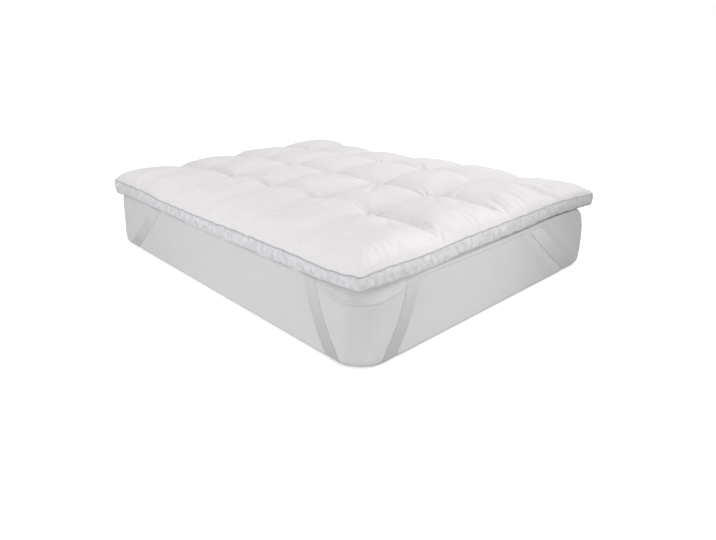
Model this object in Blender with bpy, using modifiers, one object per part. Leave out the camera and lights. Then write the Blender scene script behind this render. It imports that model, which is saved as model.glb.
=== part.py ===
"""A box-quilted mattress topper with elastic corner straps, fitted on a plain mattress.

Metres, +Z up. The origin is the centre of the mattress's underside. X runs across the bed and Y along it.
The corner at -X -Y is called near, the one at -X +Y left, the one at +X -Y right and the last one far.
"""

import math

import bmesh
import bpy
from mathutils import Vector

# ---- Topper: plan ----
TOPPER_WIDTH = 1.608
TOPPER_LENGTH = 2.008
TOPPER_CORNER_RADIUS = 0.014
PIPING_RADIUS = 0.0028
PUFFS_ACROSS = 4
PUFFS_ALONG = 6
CELLS_PER_PUFF = 8

# ---- Topper: heights above the floor ----
STITCH_HEIGHT = 0.380
CROWN_HEIGHT = 0.458
PUFF_FULLNESS = 2.6  # higher is flatter across the middle
PUFF_ROUNDNESS = 0.60  # lower is steeper at the stitching
RIM_FULLNESS = 3.0
RIM_ROUNDNESS = 0.50

# Crown height of each puff against CROWN_HEIGHT, in metres: rows run along +Y, columns along +X.
CROWN_OFFSETS = (
    (-0.004, 0.002, -0.003, -0.016),
    (0.000, -0.004, 0.004, -0.002),
    (-0.006, 0.003, -0.002, 0.000),
    (-0.004, -0.004, 0.003, 0.002),
    (-0.010, 0.002, -0.002, -0.004),
    (-0.014, -0.006, 0.006, 0.026),
)

# Height of each length of channel between two stitched points, as a share of the crown's: a row for each
# channel. Those along the bed go from its -X side on, and those across it from its -Y end on.
CHANNELS_ALONG = (
    (0.58, 0.80, 0.76, 0.74, 0.50, 0.54),
    (0.58, 0.54, 0.58, 0.66, 0.60, 0.54),
    (0.60, 0.54, 0.54, 0.58, 0.62, 0.60),
)
CHANNELS_ACROSS = (
    (0.80, 0.42, 0.42, 0.50),
    (0.62, 0.50, 0.46, 0.54),
    (0.62, 0.70, 0.66, 0.54),
    (0.62, 0.56, 0.54, 0.54),
    (0.62, 0.54, 0.62, 0.60),
)

# How far the channels lie off an even grid: (metres across, shift of the channel, shift of what crosses it
# at the bed's -Y end, the same at its +Y end, how far the channel leans in the last puffs at that end)
QUILT_DRIFT = (
    (-0.80, 0.000, 0.000, 0.000, 0.000),
    (-0.40, -0.028, 0.012, 0.002, -0.045),
    (0.00, -0.028, 0.035, 0.060, -0.070),
    (0.40, 0.030, 0.105, 0.095, -0.130),
    (0.80, 0.000, 0.020, 0.100, 0.000),
)
DRIFT_HOLD = 8  # higher keeps the drift closer to the seams at the bed's two ends, where it stops
LEAN_START = 0.60  # where the channels begin to lean, as a share of half of the bed's length

# Heights at which the two corded seams run: (metres from the side's first corner, top seam, bottom seam).
SEAM_FRONT = (  # side at -Y, from the near corner to the right one
    (0.00, 0.351, 0.303),
    (0.12, 0.356, 0.299),
    (0.28, 0.351, 0.293),
    (0.60, 0.364, 0.306),
    (0.90, 0.371, 0.311),
    (1.24, 0.378, 0.321),
    (1.42, 0.370, 0.315),
    (1.60, 0.360, 0.306),
)
SEAM_LEFT = (  # side at -X, from the near corner to the left one
    (0.00, 0.351, 0.303),
    (0.16, 0.334, 0.290),
    (0.32, 0.341, 0.286),
    (0.70, 0.341, 0.284),
    (1.02, 0.338, 0.283),
    (1.40, 0.341, 0.288),
    (1.60, 0.355, 0.290),
    (2.00, 0.357, 0.289),
)
SEAM_RIGHT = (  # side at +X, from the right corner to the far one
    (0.00, 0.360, 0.306),
    (0.30, 0.350, 0.294),
    (0.80, 0.356, 0.297),
    (1.30, 0.346, 0.291),
    (1.70, 0.356, 0.297),
    (2.00, 0.354, 0.297),
)
SEAM_BACK = (  # side at +Y, from the left corner to the far one
    (0.00, 0.357, 0.289),
    (0.35, 0.347, 0.291),
    (0.80, 0.357, 0.296),
    (1.25, 0.350, 0.292),
    (1.60, 0.354, 0.297),
)

# ---- Gusset ----
GUSSET_THICKNESS = 0.0015
GUSSET_BULGE = 0.005
GUSSET_ROWS = 4
GUSSET_STATION_PITCH = 0.085
CORNER_STATIONS = 4

# ---- Pad's sides and underside, behind the gusset ----
PAD_WALL_INSET = 0.0034  # from the seam line to the pad's own edge
PAD_WALL_ROWS = 3

# Rings of the underside between the bottom seam and the flat middle: (inset, clearance over the shoulder).
UNDERSIDE_RINGS = (
    (0.010, 0.0015),
    (0.022, 0.0015),
    (0.040, 0.0006),
    (0.070, 0.0000),
)

# ---- Mattress ----
MATTRESS_WIDTH = 1.600
MATTRESS_LENGTH = 2.000
MATTRESS_HEIGHT = 0.298
MATTRESS_FOOT_RADIUS = 0.022
MATTRESS_CORNER_STEPS = 8
MATTRESS_SIDE_ROWS = 6
FOOT_CURVE = 0.085  # a corner turns from its radius on the floor to that of its foot over this height
# (sign of a corner's X, sign of its Y, where its arc starts, its radius on the floor, that of its foot, that
# at the top, how late the foot's turns into the top's: 1 is evenly)
MATTRESS_CORNERS = (
    (1, -1, -90, 0.160, 0.070, 0.185, 4),
    (1, 1, 0, 0.140, 0.070, 0.115, 1),
    (-1, 1, 90, 0.120, 0.045, 0.115, 1),
    (-1, -1, 180, 0.125, 0.108, 0.095, 1),
)
SHOULDER_DEPTH = 0.035
SHOULDER_RISE = 0.047
SHOULDER_STEPS = (0.0, 0.05, 0.15, 0.30, 0.50, 0.75, 1.0)  # shares of its depth, closer where it is steep
BORDER_SEAM_DEPTH = 0.0025
BORDER_SEAM_WIDTH = 0.006

# ---- Straps ----
STRAP_WIDTH = 0.062
STRAP_THICKNESS = 0.0016
STRAP_BOW = 0.013  # how far its run up the side bends away from the corner
STRAP_SIDE_ROWS = 4
FOOT_SEGMENTS = 6
SLOT_DEPTH = 4 * STRAP_THICKNESS  # deep enough to reach out of the mattress
SLOT_CLEARANCE = 0.0003
STRAP_END_GAP = 0.0018  # below the bottom piping, which is a chain of short straight lengths
# (strap, sign of the corner's X, sign of its Y, corner to strap at the seam, corner to strap at the foot)
STRAPS = (
    ("near", -1, -1, 0.255, 0.142),
    ("left", -1, 1, 0.545, 0.175),
    ("right", 1, -1, 0.560, 0.175),
    ("far", 1, 1, 0.255, 0.142),
)

GAP = 0.0004  # between pieces that touch

RIM_X = TOPPER_WIDTH / 2 - PIPING_RADIUS
RIM_Y = TOPPER_LENGTH / 2 - PIPING_RADIUS
SHOULDER_START = MATTRESS_HEIGHT - SHOULDER_RISE
TOPPER_REST = MATTRESS_HEIGHT + GAP

# ---- Colours: (red, green, blue), roughness ----
COLOURS = {
    "topper_pad": ((0.80, 0.78, 0.79), 0.90),
    "gusset": ((0.62, 0.62, 0.66), 0.90),
    "piping": ((0.30, 0.30, 0.32), 0.85),
    "strap": ((0.48, 0.48, 0.48), 0.80),
    "mattress": ((0.60, 0.60, 0.60), 0.90),
}


def clear_scene():
    for obj in list(bpy.data.objects):
        bpy.data.objects.remove(obj)


def material(name):
    colour, roughness = COLOURS[name]
    made = bpy.data.materials.new(name)
    made.use_nodes = True
    shader = made.node_tree.nodes["Principled BSDF"]
    shader.inputs["Base Color"].default_value = (*colour, 1)
    shader.inputs["Roughness"].default_value = roughness
    shader.inputs["Metallic"].default_value = 0
    return made


def new_object(name, data, collection, finish=None):
    obj = bpy.data.objects.new(name, data)
    collection.objects.link(obj)
    if finish:
        data.materials.append(finish)
    return obj


def placed_grid(bm, columns, rows, place):
    """A grid of faces, whose point at (column, row) goes to place(column, row)."""
    made = bmesh.ops.create_grid(bm, x_segments=columns, y_segments=rows, size=0.5)
    for vert in made["verts"]:
        column = round((vert.co.x + 0.5) * columns)
        row = round((vert.co.y + 0.5) * rows)
        vert.co = place(column, row)


def finished_mesh(name, bm, fill_holes=False):
    """Welds the points that grids share, closes what is still open if asked, and makes the faces agree."""
    bmesh.ops.remove_doubles(bm, verts=bm.verts, dist=1e-6)
    if fill_holes:
        bmesh.ops.holes_fill(bm, edges=bm.edges, sides=0)
    bmesh.ops.recalc_face_normals(bm, faces=bm.faces)
    mesh = bpy.data.meshes.new(name)
    bm.to_mesh(mesh)
    bm.free()
    mesh.shade_smooth()
    mesh.set_sharp_from_angle(angle=math.radians(50))
    return mesh


def thicken(sheet, thickness):
    """Turns an open sheet into cloth, half of the thickness to each side."""
    solidify = sheet.modifiers.new("Cloth thickness", "SOLIDIFY")
    solidify.thickness = thickness
    solidify.offset = 0


def eased(share):
    """From 0 to 1, with a smooth start and end."""
    share = max(0.0, min(1.0, share))
    return share * share * (3 - 2 * share)


def eased_row(table, distance):
    """A table's row at a distance, with a smooth change from each row to the next."""
    for low, high in zip(table, table[1:]):
        if distance <= high[0]:
            share = eased((distance - low[0]) / (high[0] - low[0]))
            return tuple(a + (b - a) * share for a, b in zip(low[1:], high[1:]))
    return table[-1][1:]


def seam_heights_on_x_side(sign_x, y):
    return eased_row(SEAM_LEFT if sign_x < 0 else SEAM_RIGHT, y + TOPPER_LENGTH / 2)


def seam_heights_on_y_side(sign_y, x):
    return eased_row(SEAM_FRONT if sign_y < 0 else SEAM_BACK, x + TOPPER_WIDTH / 2)


def share_of_x_side(x, y):
    """How much nearer a point is to a side at -X or +X than to one at -Y or +Y, from 0 to 1."""
    to_x = (RIM_X - min(abs(x), RIM_X)) ** 2
    to_y = (RIM_Y - min(abs(y), RIM_Y)) ** 2
    return 0.5 if to_x + to_y < 1e-9 else to_y / (to_x + to_y)


def seam_heights(x, y):
    """(top seam, bottom seam) at the point of the rim next to (x, y)."""
    share = share_of_x_side(x, y)
    on_x = seam_heights_on_x_side(math.copysign(1, x), y)
    on_y = seam_heights_on_y_side(math.copysign(1, y), x)
    return tuple(a * share + b * (1 - share) for a, b in zip(on_x, on_y))


def rounded_plan(x, y, outset=0.0):
    """A point of the rim's rectangle with its corners rounded, moved outwards where it is on the edge."""
    core_x = RIM_X - TOPPER_CORNER_RADIUS
    core_y = RIM_Y - TOPPER_CORNER_RADIUS
    core = Vector((max(-core_x, min(core_x, x)), max(-core_y, min(core_y, y))))
    arm = Vector((x, y)) - core
    if arm.length < 1e-9:
        return core
    reach = max(abs(arm.x), abs(arm.y)) / TOPPER_CORNER_RADIUS
    return core + arm.normalized() * reach * (TOPPER_CORNER_RADIUS + outset)


def stitch_lines(half_size, puffs):
    """Grid lines across the puffs, closer together next to the channels."""
    pitch = 2 * half_size / puffs
    lines = []
    for puff in range(puffs):
        middle = -half_size + pitch * (puff + 0.5)
        for step in range(CELLS_PER_PUFF):
            turn = math.pi * (step / CELLS_PER_PUFF - 0.5)
            lines.append(middle + pitch / 2 * math.sin(turn))
    return lines + [half_size]


def across_puff(position, half_size, puffs):
    """(puff, place within it from -1 to 1) of a coordinate."""
    along = (position + half_size) / (2 * half_size) * puffs
    puff = max(0, min(puffs - 1, int(along)))
    return puff, 2 * (along - puff) - 1


def towards_rim(puff, place, puffs):
    return (puff == 0 and place < 0) or (puff == puffs - 1 and place > 0)


def bulge(puff, place, puffs):
    """How full a puff is across: 1 in the middle, 0 at its stitching, steepest at the gusset."""
    if towards_rim(puff, place, puffs):
        return max(0.0, 1 - abs(place) ** RIM_FULLNESS) ** RIM_ROUNDNESS
    return max(0.0, 1 - abs(place) ** PUFF_FULLNESS) ** PUFF_ROUNDNESS


def channel_rise(channels, puff, place, puffs, length):
    """A channel between puffs keeps some height between its stitched points. The outer seam has none."""
    if towards_rim(puff, place, puffs):
        return 0.0
    nearest = puff if place > 0 else puff - 1
    return channels[nearest][length]


def rim_share(puff, place, puffs):
    """From 0 at the outer seam to 1 at the first channel."""
    if puff == 0:
        return (place + 1) / 2
    if puff == puffs - 1:
        return (1 - place) / 2
    return 1.0


def drifted(x, y):
    """Where a point of the even quilting grid really lies."""
    shift_x, shift_near, shift_far, lean = eased_row(QUILT_DRIFT, x)
    along = y / RIM_Y
    hold = 1 - along**DRIFT_HOLD
    shift_y = shift_near + (shift_far - shift_near) * (along + 1) / 2
    leaning = lean * eased((along - LEAN_START) / (1 - LEAN_START))
    return x + shift_x * hold + leaning, y + shift_y * hold


def pad_height(x, y):
    """The quilted top's height: puffs that rise from a net of stitched points, inside the outer seam."""
    column, across = across_puff(x, RIM_X, PUFFS_ACROSS)
    row, along = across_puff(y, RIM_Y, PUFFS_ALONG)
    full_x = bulge(column, across, PUFFS_ACROSS)
    full_y = bulge(row, along, PUFFS_ALONG)
    fullness = full_x * full_y
    rise_along = channel_rise(CHANNELS_ALONG, column, across, PUFFS_ACROSS, row)
    rise_across = channel_rise(CHANNELS_ACROSS, row, along, PUFFS_ALONG, column)
    fullness += rise_along * (1 - full_x) * full_y + rise_across * full_x * (1 - full_y)
    inner = rim_share(column, across, PUFFS_ACROSS) * rim_share(row, along, PUFFS_ALONG)
    net = seam_heights(*drifted(x, y))[0] * (1 - inner) + STITCH_HEIGHT * inner
    return net + (CROWN_HEIGHT - STITCH_HEIGHT + CROWN_OFFSETS[row][column]) * fullness


def mattress_height_at(inset):
    """The height of the mattress's top at a distance in from its side."""
    share = max(0.0, 1 - inset / SHOULDER_DEPTH)
    return SHOULDER_START + SHOULDER_RISE * math.sqrt(1 - share * share)


def pad_rim(lines_x, lines_y):
    """The points of the pad's grid that lie on its edge, in order round it."""
    front = [(x, -RIM_Y) for x in lines_x[:-1]]
    right = [(RIM_X, y) for y in lines_y[:-1]]
    back = [(x, RIM_Y) for x in reversed(lines_x[1:])]
    left = [(-RIM_X, y) for y in reversed(lines_y[1:])]
    return front + right + back + left


def pad_side_levels():
    """(outset, share of the way up from the bottom seam) of each row of the pad's side, top row first."""
    levels = []
    for row in range(PAD_WALL_ROWS + 1):
        share = 1 - row / PAD_WALL_ROWS
        levels.append((-PAD_WALL_INSET + GUSSET_BULGE * math.sin(math.pi * share), share))
    return levels


def make_pad(collection):
    lines_x = stitch_lines(RIM_X, PUFFS_ACROSS)
    lines_y = stitch_lines(RIM_Y, PUFFS_ALONG)
    rim = pad_rim(lines_x, lines_y)
    levels = pad_side_levels()

    def place_top(column, row):
        x, y = lines_x[column], lines_y[row]
        plan = rounded_plan(*drifted(x, y), -PAD_WALL_INSET)
        return Vector((plan.x, plan.y, pad_height(x, y)))

    def place_side(column, row):
        x, y = drifted(*rim[column % len(rim)])
        top, bottom = seam_heights(x, y)
        if row < len(levels):
            outset, share = levels[row]
            plan = rounded_plan(x, y, outset)
            return Vector((plan.x, plan.y, bottom + (top - bottom) * share))
        inset, clearance = UNDERSIDE_RINGS[row - len(levels)]
        plan = rounded_plan(x, y, -PAD_WALL_INSET)
        scale_x = 1 - inset / RIM_X
        scale_y = 1 - inset / RIM_Y
        height = bottom + (TOPPER_REST - bottom) * math.sqrt(inset / UNDERSIDE_RINGS[-1][0])
        floor = mattress_height_at(inset) + GAP + clearance
        return Vector((plan.x * scale_x, plan.y * scale_y, max(height, floor)))

    bm = bmesh.new()
    placed_grid(bm, len(lines_x) - 1, len(lines_y) - 1, place_top)
    placed_grid(bm, len(rim), len(levels) + len(UNDERSIDE_RINGS) - 1, place_side)
    mesh = finished_mesh("topper_pad", bm, fill_holes=True)
    new_object("topper_pad", mesh, collection, material("topper_pad"))


def rim_stations():
    """Points round the rim for the gusset and the pipings: corners in arcs, sides at an even pitch."""
    stations = []
    corners = ((1, -1, -90), (1, 1, 0), (-1, 1, 90), (-1, -1, 180))
    core = Vector((RIM_X - TOPPER_CORNER_RADIUS, RIM_Y - TOPPER_CORNER_RADIUS))
    for index, (sign_x, sign_y, first_angle) in enumerate(corners):
        centre = Vector((core.x * sign_x, core.y * sign_y))
        for step in range(CORNER_STATIONS + 1):
            turn = math.radians(first_angle + 90 * step / CORNER_STATIONS)
            outward = Vector((math.cos(turn), math.sin(turn)))
            stations.append((centre + outward * TOPPER_CORNER_RADIUS, outward))
        next_x, next_y, next_angle = corners[(index + 1) % len(corners)]
        goal = Vector((core.x * next_x, core.y * next_y)) + outward * TOPPER_CORNER_RADIUS
        start = stations[-1][0]
        steps = round((goal - start).length / GUSSET_STATION_PITCH)
        for step in range(1, steps):
            stations.append((start.lerp(goal, step / steps), outward))
    return stations


def make_gusset(collection, stations):
    edge_gap = PIPING_RADIUS + GAP

    def place(column, row):
        point, outward = stations[column % len(stations)]
        top, bottom = seam_heights(point.x, point.y)
        share = row / GUSSET_ROWS
        plan = point + outward * (GUSSET_BULGE * math.sin(math.pi * share) - GUSSET_THICKNESS / 2)
        low = bottom + edge_gap
        return Vector((plan.x, plan.y, low + (top - edge_gap - low) * share))

    bm = bmesh.new()
    placed_grid(bm, len(stations), GUSSET_ROWS, place)
    band = new_object("gusset", finished_mesh("gusset", bm), collection, material("gusset"))
    thicken(band, GUSSET_THICKNESS)


def make_piping(name, height_index, collection, stations, finish):
    curve = bpy.data.curves.new(name, "CURVE")
    curve.dimensions = "3D"
    curve.bevel_depth = PIPING_RADIUS
    curve.bevel_resolution = 1
    spline = curve.splines.new("POLY")
    spline.points.add(len(stations) - 1)
    for point, (plan, _) in zip(spline.points, stations):
        point.co = (plan.x, plan.y, seam_heights(plan.x, plan.y)[height_index], 1)
    spline.use_cyclic_u = True
    new_object(name, curve, collection, finish)


def mattress_profile():
    """(inset from the side, height) from the underside up to the top."""
    levels = []
    for step in range(FOOT_SEGMENTS + 1):
        turn = math.pi / 2 * step / FOOT_SEGMENTS
        inset = MATTRESS_FOOT_RADIUS * (1 - math.sin(turn))
        levels.append((inset, MATTRESS_FOOT_RADIUS * (1 - math.cos(turn))))
    side_top = SHOULDER_START - BORDER_SEAM_WIDTH
    for row in range(1, MATTRESS_SIDE_ROWS + 1):
        share = row / MATTRESS_SIDE_ROWS
        levels.append((0.0, MATTRESS_FOOT_RADIUS + (side_top - MATTRESS_FOOT_RADIUS) * share))
    levels.append((BORDER_SEAM_DEPTH, SHOULDER_START - BORDER_SEAM_WIDTH / 2))
    for share in SHOULDER_STEPS:
        inset = SHOULDER_DEPTH * share
        levels.append((inset, mattress_height_at(inset)))
    return levels


def mattress_outline(inset, height):
    """The mattress's rounded rectangle, in order round it, at a distance in from its sides."""
    points = []
    turn_in = 1 - math.sqrt(1 - max(0.0, 1 - height / FOOT_CURVE) ** 2)
    for sign_x, sign_y, first_angle, on_floor, at_foot, at_top, lateness in MATTRESS_CORNERS:
        radius = at_foot + (at_top - at_foot) * (height / MATTRESS_HEIGHT) ** lateness
        radius += (on_floor - at_foot) * turn_in
        core_x = MATTRESS_WIDTH / 2 - radius
        core_y = MATTRESS_LENGTH / 2 - radius
        for step in range(MATTRESS_CORNER_STEPS + 1):
            turn = math.radians(first_angle + 90 * step / MATTRESS_CORNER_STEPS)
            x = core_x * sign_x + (radius - inset) * math.cos(turn)
            y = core_y * sign_y + (radius - inset) * math.sin(turn)
            points.append((x, y))
    return points


def make_mattress(collection, slots):
    levels = mattress_profile()
    outlines = [mattress_outline(inset, height) for inset, height in levels]
    columns = len(outlines[0])

    def place(column, row):
        x, y = outlines[row][column % columns]
        return Vector((x, y, levels[row][1]))

    bm = bmesh.new()
    placed_grid(bm, columns, len(levels) - 1, place)
    mesh = finished_mesh("mattress", bm, fill_holes=True)
    body = new_object("mattress", mesh, collection, material("mattress"))
    for slot in slots:
        cut = body.modifiers.new("Room for " + slot.name, "BOOLEAN")
        cut.operation = "DIFFERENCE"
        cut.solver = "EXACT"
        cut.object = slot


def strap_half(at_seam, at_foot, width, radius, seam_below):
    """Pairs of points across a strap, from its end at the seam to the diagonal under the corner.

    A point is (metres from the corner along the side, metres out from the side, height). The strap bends
    round the mattress's foot at the given radius, and turns there from its slope on the side to 45 degrees.
    """
    surface = GAP + STRAP_THICKNESS / 2
    bend = MATTRESS_FOOT_RADIUS + STRAP_THICKNESS / 2
    bend_out = surface - bend
    bend_height = surface + bend
    half_width = width / 2
    rise = MATTRESS_HEIGHT - bend_height
    mean_slope = (at_seam - at_foot) / rise
    slope = mean_slope + math.pi * STRAP_BOW / rise  # where it leaves the foot

    def on_side(edge, height):
        share = (height - bend_height) / rise
        along = at_foot + (at_seam - at_foot) * share + STRAP_BOW * math.sin(math.pi * share)
        steepness = mean_slope + math.pi * STRAP_BOW / rise * math.cos(math.pi * share)
        return along + edge * half_width * math.hypot(1, steepness), bend_out + radius, height

    def at_piping(edge):
        along = on_side(edge, MATTRESS_HEIGHT)[0]
        return on_side(edge, seam_below(along) - PIPING_RADIUS - STRAP_END_GAP)

    def in_bend(edge, share):
        steepness = slope + (1 - slope) * share
        drift = math.pi / 2 * bend * (slope * share + (1 - slope) * share * share / 2)
        along = at_foot - drift + edge * half_width * math.hypot(1, steepness)
        turn = math.pi / 2 * share
        return along, bend_out + radius * math.cos(turn), bend_height - radius * math.sin(turn)

    def on_diagonal(edge):
        along, out, height = in_bend(edge, 1)
        halfway = (along - out) / 2
        return halfway, -halfway, height

    pairs = [[at_piping(edge) for edge in (-1, 1)]]
    for row in range(STRAP_SIDE_ROWS, 0, -1):
        height = bend_height + (SHOULDER_START - bend_height) * row / (STRAP_SIDE_ROWS + 1)
        pairs.append([on_side(edge, height) for edge in (-1, 1)])
    for step in range(FOOT_SEGMENTS + 1):
        pairs.append([in_bend(edge, step / FOOT_SEGMENTS) for edge in (-1, 1)])
    pairs.append([on_diagonal(edge) for edge in (-1, 1)])
    return pairs


def make_strap(name, strap, extra_width, radius, thickness, collection, finish=None):
    """A band under one corner: one half on the side across X, the other on the side across Y."""
    _, sign_x, sign_y, at_seam, at_foot = strap
    half_x = MATTRESS_WIDTH / 2
    half_y = MATTRESS_LENGTH / 2
    width = STRAP_WIDTH + extra_width

    def seam_on_x_side(along):
        return seam_heights_on_x_side(sign_x, sign_y * (half_y - along))[1]

    def seam_on_y_side(along):
        return seam_heights_on_y_side(sign_y, sign_x * (half_x - along))[1]

    first = strap_half(at_seam, at_foot, width, radius, seam_on_x_side)
    second = strap_half(at_seam, at_foot, width, radius, seam_on_y_side)
    last_row = len(first) + len(second) - 2

    def place(column, row):
        if row < len(first):
            along, out, height = first[row][column]
            return Vector((sign_x * (half_x + out), sign_y * (half_y - along), height))
        along, out, height = second[last_row - row][column]
        return Vector((sign_x * (half_x - along), sign_y * (half_y + out), height))

    bm = bmesh.new()
    placed_grid(bm, 1, last_row, place)
    band = new_object(name, finished_mesh(name, bm), collection, finish)
    thicken(band, thickness)
    return band


def make_strap_slot(strap, collection):
    """The hollow that a strap presses into the mattress's foot, open at the underside."""
    name = "slot_" + strap[0]
    middle = MATTRESS_FOOT_RADIUS - SLOT_CLEARANCE + SLOT_DEPTH / 2
    slot = make_strap(name, strap, 2 * SLOT_CLEARANCE, middle, SLOT_DEPTH, collection)
    slot.hide_render = True
    slot.display_type = "WIRE"
    return slot


def main():
    clear_scene()
    model = bpy.data.collections.new("mattress_topper_on_mattress")
    cutters = bpy.data.collections.new("cutters")
    bpy.context.scene.collection.children.link(model)
    bpy.context.scene.collection.children.link(cutters)

    make_pad(model)
    stations = rim_stations()
    make_gusset(model, stations)
    piping = material("piping")
    make_piping("top_piping", 0, model, stations, piping)
    make_piping("bottom_piping", 1, model, stations, piping)
    elastic = material("strap")
    bend = MATTRESS_FOOT_RADIUS + STRAP_THICKNESS / 2
    for strap in STRAPS:
        make_strap("strap_" + strap[0], strap, 0.0, bend, STRAP_THICKNESS, model, elastic)
    slots = [make_strap_slot(strap, cutters) for strap in STRAPS]
    make_mattress(model, slots)


main()
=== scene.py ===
import math

import bpy
import numpy as np
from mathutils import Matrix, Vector
from mathutils.bvhtree import BVHTree


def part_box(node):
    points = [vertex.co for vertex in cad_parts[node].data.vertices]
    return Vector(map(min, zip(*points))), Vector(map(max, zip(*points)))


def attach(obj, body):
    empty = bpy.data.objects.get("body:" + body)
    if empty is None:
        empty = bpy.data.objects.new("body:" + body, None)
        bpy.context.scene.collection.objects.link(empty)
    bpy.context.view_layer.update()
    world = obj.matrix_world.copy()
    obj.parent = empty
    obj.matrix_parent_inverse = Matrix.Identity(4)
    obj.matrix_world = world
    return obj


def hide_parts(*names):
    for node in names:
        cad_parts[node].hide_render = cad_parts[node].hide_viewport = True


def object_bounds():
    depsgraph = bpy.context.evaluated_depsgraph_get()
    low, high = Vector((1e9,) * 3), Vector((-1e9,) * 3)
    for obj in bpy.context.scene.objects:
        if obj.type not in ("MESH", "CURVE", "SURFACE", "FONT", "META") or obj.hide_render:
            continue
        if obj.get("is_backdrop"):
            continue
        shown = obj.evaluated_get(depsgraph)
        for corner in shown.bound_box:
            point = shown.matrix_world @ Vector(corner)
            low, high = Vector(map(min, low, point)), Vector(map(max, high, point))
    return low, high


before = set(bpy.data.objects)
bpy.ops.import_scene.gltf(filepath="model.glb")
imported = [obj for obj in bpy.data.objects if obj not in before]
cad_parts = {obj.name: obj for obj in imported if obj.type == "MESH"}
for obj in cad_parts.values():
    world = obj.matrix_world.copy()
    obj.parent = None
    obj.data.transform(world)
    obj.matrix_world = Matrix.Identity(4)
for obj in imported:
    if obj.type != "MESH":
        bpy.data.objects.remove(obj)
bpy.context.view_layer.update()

# ==== The mattress ====
# A plain foam and spring mattress in a light grey knitted cover. Its core is soft, so its corners and lower
# edge are round, each corner in its own way. The cover's side is sewn to the top panel along a corded edge,
# and swells out on both sides of a strap that presses into it.

FULL_HEIGHT = 0.298
MATTRESS_FOOT = 0.022  # radius of the lower edge
SHOULDER_START = 0.251
SHOULDER_DEPTH = 0.035
KNIT_GREY = (0.655, 0.655, 0.657)
KNIT_PITCH = 0.0022
WAVE_BAND = math.pi / 10  # metres from band to band of a wave texture at a scale of 1
COVER_PITCH = 0.009  # between points along the sides
COVER_CORNER_STEPS = 16
COVER_FOOT_STEPS = 8
COVER_SIDE_ROWS = 26
COVER_SHOULDER_STEPS = 10
COVER_UNDERSIDE = (0.36, 0.27, 0.20, 0.15, 0.12, 0.095, 0.07, 0.05, 0.035)  # insets of the rings under it
COVER_TOP = (0.06, 0.12)  # and of those on top of it
COVER_EVEN_INSET = MATTRESS_FOOT + 0.013  # past this a ring is drawn towards the middle instead
COVER_SLACK = 0.0006  # how far the knit bags in and out
COVER_SLACK_LENGTH = 0.16
COVER_SLACK_SEED = 11
WAVE_LENGTHS = (0.7, 1.5)  # from the shortest of some uneven waves to the longest, as shares of their length
STRAP_DENT_SIDE = 0.0015
STRAP_DENT_BELOW = 0.0036
STRAP_DENT_REACH = 0.016  # a strap's dent fades out over this distance from it
STRAP_DENT_FALL = 1.5  # higher is a flatter dent with a steeper edge
STRAP_DENT_LIMIT = 0.09  # a point further away than this isn't moved
STRAP_TOUCH = 0.003  # a point as near as this is under the strap
STRAP_SWELL = 0.0024
STRAP_SWELL_AT = 0.032  # distance from the strap
STRAP_SWELL_SPREAD = 0.6  # as a share of that distance
CORNER_CREASE = 0.0058  # the upright trough where the knit is drawn round the near corner
CORNER_CREASE_PLACE = (-0.744, -0.985)
CORNER_CREASE_WIDTH = 0.013
CORNER_CREASE_ENDS = (0.08, 0.04)  # heights over which it fades out at its foot and at its top
EDGE_SET_BACK = 0.0030  # how far the top panel's side lies behind the corded edge
EDGE_LIFT = 0.041  # the edge sags at the corners, and is this much higher along the sides
EDGE_SAG_START = 0.08  # the sag is full to this distance from a corner
EDGE_SAG_END = 0.34
EDGE_FLATNESS = 0.55  # how much flatter the edge is along the sides
PLAIN_SAG_START = 0.05  # the sag's two distances at the left and right corners
PLAIN_SAG_END = 0.21
PLAIN_START = 0.4  # the edge is quite flat to this distance from the left and right corners
PLAIN_END = 0.8
TIGHT_SHOULDER = 0.6  # how much narrower the shoulder is along the sides than at the corners
FRONT_SWELL = 0.0165  # the top swells up along the front edge, under the highest part of the topper's seam
FRONT_SWELL_PLACE = 0.43
FRONT_SWELL_HALF = 0.33
FRONT_SWELL_REACH = 0.070

FOOT_CURVE = 0.085  # a corner turns from its radius on the floor to that of its foot over this height
# (sign of a corner's X, sign of its Y, where its arc starts, its radius on the floor, at its foot and at
# its top, how late the one at the foot turns into the one at the top: 1 is evenly)
MATTRESS_CORNERS = (
    (1, -1, -90, 0.160, 0.070, 0.185, 4),
    (1, 1, 0, 0.140, 0.070, 0.115, 1),
    (-1, 1, 90, 0.120, 0.045, 0.115, 1),
    (-1, -1, 180, 0.125, 0.108, 0.095, 1),
)

# The corded edge under the shoulder: (height under the shoulder's start, distance out from the side)
CORDED_EDGE = (
    (0.0190, 0.0000),
    (0.0150, -0.0010),
    (0.0125, -0.0030),
    (0.0108, -0.0008),
    (0.0090, 0.0034),
    (0.0068, 0.0054),
    (0.0036, 0.0050),
    (-0.0004, 0.0020),
    (-0.0044, -0.0026),
)


def object_of(name, points, faces, finish):
    mesh = bpy.data.meshes.new(name)
    mesh.from_pydata([tuple(p) for p in points], [], faces)
    mesh.materials.append(finish)
    mesh.shade_smooth()
    made = bpy.data.objects.new(name, mesh)
    bpy.context.scene.collection.objects.link(made)
    return made


def surface_of(mesh):
    """A mesh's faces, to find the nearest point on them or where a ray meets them."""
    return BVHTree.FromPolygons([v.co for v in mesh.vertices], [p.vertices for p in mesh.polygons])


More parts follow.
